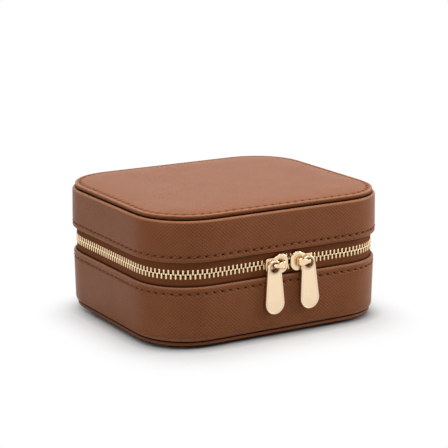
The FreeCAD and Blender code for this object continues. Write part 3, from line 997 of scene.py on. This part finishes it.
def pull_collar(half):
    """Skin of the raised ring round a pull's eye, with painted shade inside."""
    inner = pull_hole_radius - collar_overlap + collar_rounding
    outer = collar_radius - collar_rounding
    high = half + collar_height - collar_rounding
    section = []
    # Painted shade on the collar's inner side
    for radius, depth, start, wear_and_shading in ((outer, high, 0, 0), (inner, high, 90, -0.8),
                                       (inner, -high, 180, -0.8), (outer, -high, 270, 0)):
        rounded = arc((radius, depth), -collar_rounding, collar_rounding, start, start + 90, 3)
        section += [(away, level, wear_and_shading) for away, level in rounded]
    rings = [[(Vector((away * x, level, away * z)), 0, wear_and_shading) for away, level, wear_and_shading in section]
             for x, z in around(48)]
    return skin(rings, closed=True)


def pull(name, pivot, turn):
    """A pull tab, turned a little aside on the leg of its bridge."""
    half = (pull_back - pull_front) / 2
    piece = new_piece(name, pull_metal, pull_paddle(half), pull_collar(half))
    drop = Matrix.Translation((0, 0, -pull_eye_drop))
    aside = Matrix.Rotation(-turn, 4, "Y")
    place = Matrix.Translation((pivot, (pull_front + pull_back) / 2, zip_centre))
    piece.data.transform(place @ aside @ drop)
    return piece


# Hinge, linings, dividers, ring rolls and mirror frame

def hinge_band(name, half_length, outer, inner, low, high, material):
    """A band of leather or cloth across the back, in rows close enough to bend."""
    stops = spread(-half_length, half_length, round(2 * half_length / hinge_step))
    levels = spread(low, high, 24)
    section = [(outer, z) for z in levels] + [(inner, z) for z in reversed(levels)]
    return new_piece(name, material, skin(carried(section, (outer + inner) / 2, stops), lengths=stops))


def lining(name, rim, end):
    """A velvet tray: a lip over the frame's edge, walls with a soft foot, and a floor."""
    way = 1 if end > rim else -1
    height = abs(end - rim)
    wall, lip, thickness, foot = lining_inset, lip_inset, lining_thickness, lining_foot
    rows = [(wall + MM, height + thickness), (wall - thickness, height + thickness),
            (wall - thickness, thickness), (lip, thickness), (lip, 0.3 * MM), (lip + 0.1 * MM, 0.1 * MM),
            (lip + 0.35 * MM, 0), (wall - 0.6 * MM, 0), (wall - 0.2 * MM, 0.15 * MM), (wall, 0.6 * MM)]
    rows += [(wall, height * share) for share in (0.25, 0.5, 0.75)]
    rows += arc((wall + foot, height - foot), foot, foot, 0, 90, 5)
    section = [(inset, rim + way * up) for inset, up in rows]
    return new_piece(name, velvet, layered(section, wall, 2.5 * MM))


def divider(node):
    """A velvet divider with a rounded top edge, fuller between its ends."""
    low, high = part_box(node)
    along = 0 if high.x - low.x > high.y - low.y else 1
    across = 1 - along
    middle = (low[across] + high[across]) / 2
    half = (high[across] - low[across]) / 2
    length = high[along] - low[along]
    halfway = (low.z + high.z) / 2
    rings = []
    for share in spread(0, 1, 40):
        end = min(share, 1 - share) * length
        shrink = 1 - 0.1 * exp(-end / (1.2 * MM))
        width = half * shrink * (0.94 + 0.06 * sin(pi * share))
        top = arc((0, high.z - half), -width, half * shrink, 180, 0, 12)
        section = [(-width, low.z), (-width, halfway), *top, (width, halfway), (width, low.z)]
        flat = [((low[along] + length * share, middle + sideways), z) for sideways, z in section]
        rings.append([(Vector((place[along], place[across], z)), 0, 0) for place, z in flat])
    return new_piece(node + "_velvet", velvet, skin(rings))


def ring_roll(node, number):
    """A stuffed velvet roll: flat where it rests, and slightly uneven."""
    low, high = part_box(node)
    middle = (low.x + high.x) / 2
    radius = (high.x - low.x) / 2
    length = high.y - low.y
    rings = []
    for turn in spread(0, pi, 44):
        share = (1 - cos(turn)) / 2
        end = min(share, 1 - share) * length
        bulge = 1 - 0.3 * exp(-end / (0.9 * MM)) - 0.012 * (1 + sin(9 * share + 2.1 * number))
        ring = []
        for across, up in around(40):
            z = max(high.z - radius + radius * bulge * up, low.z)
            ring.append((Vector((middle + radius * bulge * across, low.y + length * share, z)), 0, 0))
        rings.append(ring)
    return new_piece(node + "_velvet", roll_velvet, skin(rings))


def mirror_rim():
    """The covered frame round the mirror, with a rebate that holds the glass."""
    low, high = (corner.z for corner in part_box("mirror_frame"))
    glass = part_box("mirror")[0].z
    outer, inner = mirror_frame_inset, mirror_window_inset
    section = [(outer, high), (outer, low + 0.8 * MM), (outer + 0.15 * MM, low + 0.35 * MM),
               (outer + 0.5 * MM, low + 0.08 * MM), (outer + 1.2 * MM, low), (inner - MM, low),
               (inner - 0.4 * MM, low + 0.08 * MM), (inner - 0.08 * MM, low + 0.3 * MM), (inner, glass),
               (inner - mirror_rebate, glass), (inner - mirror_rebate, high)]
    rings = carried(section, outer, even_stops(outer, 2 * MM))
    return new_piece("mirror_rim", velvet, skin(rings, closed=True))


def lid_pad():
    """The foam under the top panel, thinner towards its edge."""
    low, high = (corner.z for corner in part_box("lid_padding"))
    edge = padding_inset
    section = ((edge, low), (edge, low + 0.4 * MM), (edge + 0.6 * MM, high - 0.5 * MM),
               (edge + 2.5 * MM, high - 0.12 * MM), (edge + 6 * MM, high))
    return new_piece("lid_pad", foam, layered(section, edge, 3 * MM))


# The camera, the floor and the light

def make_camera():
    """The camera at the photograph's angle and framing."""
    camera = bpy.data.cameras.new("camera")
    camera.sensor_width = 36
    camera.lens = camera_focal_pixels * camera.sensor_width / photo_size
    camera.shift_x = (photo_size / 2 - target_pixel[0]) / photo_size
    camera.shift_y = (target_pixel[1] - photo_size / 2) / photo_size
    camera.clip_start = 0.01
    holder = add_object("camera", camera)
    flat = cos(camera_elevation)
    towards = Vector((-sin(camera_azimuth) * flat, -cos(camera_azimuth) * flat,
                      sin(camera_elevation)))
    holder.location = target + towards * camera_distance
    holder.rotation_euler = (-towards).to_track_quat("-Z", "Y").to_euler()
    bpy.context.scene.camera = holder


def seen_directly(tree):
    """1 for rays from the camera, in a reflection or through glass, else 0."""
    ray = add(tree, "LightPath")
    seen = calculate("MAXIMUM", ray["Is Camera Ray"], ray["Is Glossy Ray"])
    return calculate("MAXIMUM", seen, ray["Is Transmission Ray"])


def make_stage():
    """A pale floor that keeps the case's shadow, darkened further by a painted contact shadow near the
    case, and fades into a white surround.
    """
    material, tree = new_material("studio_floor")
    from_camera = add(tree, "LightPath")["Is Camera Ray"]
    shade = mix(from_camera, floor_bounce, floor_seen)
    # Painted contact shadow: the floor's colour is darkened where the case hides its surroundings nearby
    open_sky = add(tree, "AmbientOcclusion", {"Distance": contact_reach}, samples=16)["AO"]
    shade = mix(remap(open_sky, 0.5, 1, contact_shade, 0), shade, black)
    diffuse = add(tree, "BsdfDiffuse", {"Color": shade})[0]
    strength = remap(seen_directly(tree), 0, 1, floor_glow, 1)
    glow = add(tree, "Emission", {"Color": white, "Strength": strength})[0]
    beside = vector("ABSOLUTE", vector("SUBTRACT", add(tree, "TexCoord")["Object"], floor_fade_centre))
    away = vector("LENGTH", vector("MAXIMUM", vector("SUBTRACT", beside, floor_fade_core), (0, 0, 0)))
    far = add(tree, "MapRange", (away, floor_fade_start, floor_fade_end, 0, 1),
              interpolation_type="SMOOTHSTEP")[0]
    mixed = add(tree, "MixShader", (far, diffuse, glow))[0]
    add(tree, "OutputMaterial", (mixed,))
    mesh = bpy.data.meshes.new("floor")
    corners = ((-1, -1), (1, -1), (1, 1), (-1, 1))
    mesh.from_pydata([(x * floor_reach, y * floor_reach, 0) for x, y in corners], [], [(0, 1, 2, 3)])
    mesh.materials.append(material)
    add_object("floor", mesh)


def make_lights():
    """Square lights that face the case."""
    for name, place, size, power in lights:
        light = bpy.data.lights.new(name, "AREA")
        light.shape = "SQUARE"
        light.size = size
        light.energy = power
        holder = add_object(name, light)
        holder.location = place
        holder.rotation_euler = (target - Vector(place)).to_track_quat("-Z", "Y").to_euler()


def make_surround():
    """A white surround that gives less light than it shows."""
    world = bpy.data.worlds.new("surround")
    world.use_nodes = True
    tree = world.node_tree
    tree.nodes.clear()
    direction = add(tree, "TexCoord")["Generated"]
    height = add(tree, "SeparateXYZ", (direction,))[2]
    shown = remap(height, 0.3, 0.75, 1, ceiling_shade)
    strength = add(tree, "Mix", (seen_directly(tree), None, surround_fill, shown))[0]
    glow = add(tree, "Background", {"Color": white, "Strength": strength})[0]
    add(tree, "OutputWorld", (glow,))
    bpy.context.scene.world = world
    bpy.context.scene.view_settings.view_transform = "Standard"


# Leather, thread and zip on their bodies
lid_edge = panel_top - panel_crown
bottom_panel_inset = panel_inset + base_taper[1] / 2
stitch_crown = panel_crown * crown_share(panel_stitch - panel_inset - panel_edge_rounding)
bottom_stitch = bottom_crown * (1 - crown_share(panel_stitch - bottom_panel_inset - bottom_edge_rounding))

put(leather_wall("base_leather", base_rim, base_bottom, base_hem_end, base_stitch,
                 base_edge_rounding, base_taper), "base", "leather", "base_leather_wall")
put(leather_wall("lid_leather", lid_rim, lid_top, lid_hem_end, lid_stitch,
                 lid_edge_rounding, lid_flare), "lid", "leather", "lid_leather_wall")
put(panel("top_leather", lid_top, lid_edge, 1, panel_inset, panel_edge_rounding, panel_crown),
    "lid", "leather", "top_panel")
put(panel("bottom_leather", base_bottom, bottom_crown, -1, bottom_panel_inset,
          bottom_edge_rounding, bottom_crown), "base", "leather", "bottom_panel")
put(stitch_row("base_rim_stitches", 0, base_taper[0], base_rim - base_stitch), "base", "leather")
put(stitch_row("lid_rim_stitches", 0, lid_flare[0], lid_rim + lid_stitch), "lid", "leather")
put(stitch_row("top_stitches", panel_stitch, 0, lid_edge + stitch_crown, 1), "lid", "leather")
put(stitch_row("bottom_stitches", panel_stitch, 0, bottom_stitch, -1), "base", "leather")
put(zip_tape("lower_tape", base_rim, base_hem_end, -1, 1), "base", "zip_tape", "lower_zip_tape")
put(zip_tape("upper_tape", lid_rim, lid_hem_end, 1, 0.3), "lid", "zip_tape", "upper_zip_tape")
put(zip_teeth("lower_teeth", -1), "base", "zip_teeth", "lower_zip_teeth")
put(zip_teeth("upper_teeth", 1), "lid", "zip_teeth", "upper_zip_teeth")

# Sliders and pulls
for side, way, nose, turn in (("left", -1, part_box("left_slider_body")[1].x, left_pull_turn),
                              ("right", 1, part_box("right_slider_body")[0].x, right_pull_turn)):
    body = side + "_slider"
    put(slider(side + "_slider_metal", nose, way), body, "zip_metal", body + "_body")
    put(bridge(side + "_bridge_metal", nose, way), body, "zip_metal", body + "_bridge")
    put(pull(side + "_pull_metal", nose + way * bridge_outer_leg, turn),
        side + "_pull", "zip_metal", side + "_pull_tab")

# The hinge: a leather strip and a cloth band across the back
strip = hinge_band("hinge_leather", chain_start - hinge_end_gap, tape_outer, tape_inner,
                   base_hem_end, lid_hem_end, leather)
cloth_low, cloth_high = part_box("hinge_lining")
cloth = hinge_band("hinge_cloth", straight_x, half_depth - cloth_high.y, half_depth - cloth_low.y,
                   cloth_low.z, cloth_high.z, velvet)
for band, node, slot in ((strip, "hinge_strip", "leather"), (cloth, "hinge_lining", "velvet")):
    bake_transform(band)
    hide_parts(node)

# The inside
put(lining("base_velvet", base_rim, floor_level), "base", "velvet", "base_lining")
put(lining("lid_velvet", lid_rim, ceiling_level), "lid", "velvet", "lid_lining")
for node in ("cross_divider", "centre_divider"):
    put(divider(node), "base", "velvet", node)
for number in range(1, 9):
    node = f"ring_roll_{number}"
    roll = put(ring_roll(node, number), "base", "velvet_roll", node)
put(mirror_rim(), "lid", "velvet", "mirror_frame")
pad = put(lid_pad(), "lid", "foam", "lid_padding")

# The solids that stay as they are
for node, finish in (("base_frame", board), ("base_floor_board", board), ("base_filler_card", board),
                     ("lid_frame", board), ("lid_top_board", board), ("mirror", mirror_glass)):
    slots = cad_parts[node].data.materials
    slots.clear()
    slots.append(finish)

make_camera()
make_stage()
make_lights()
make_surround()
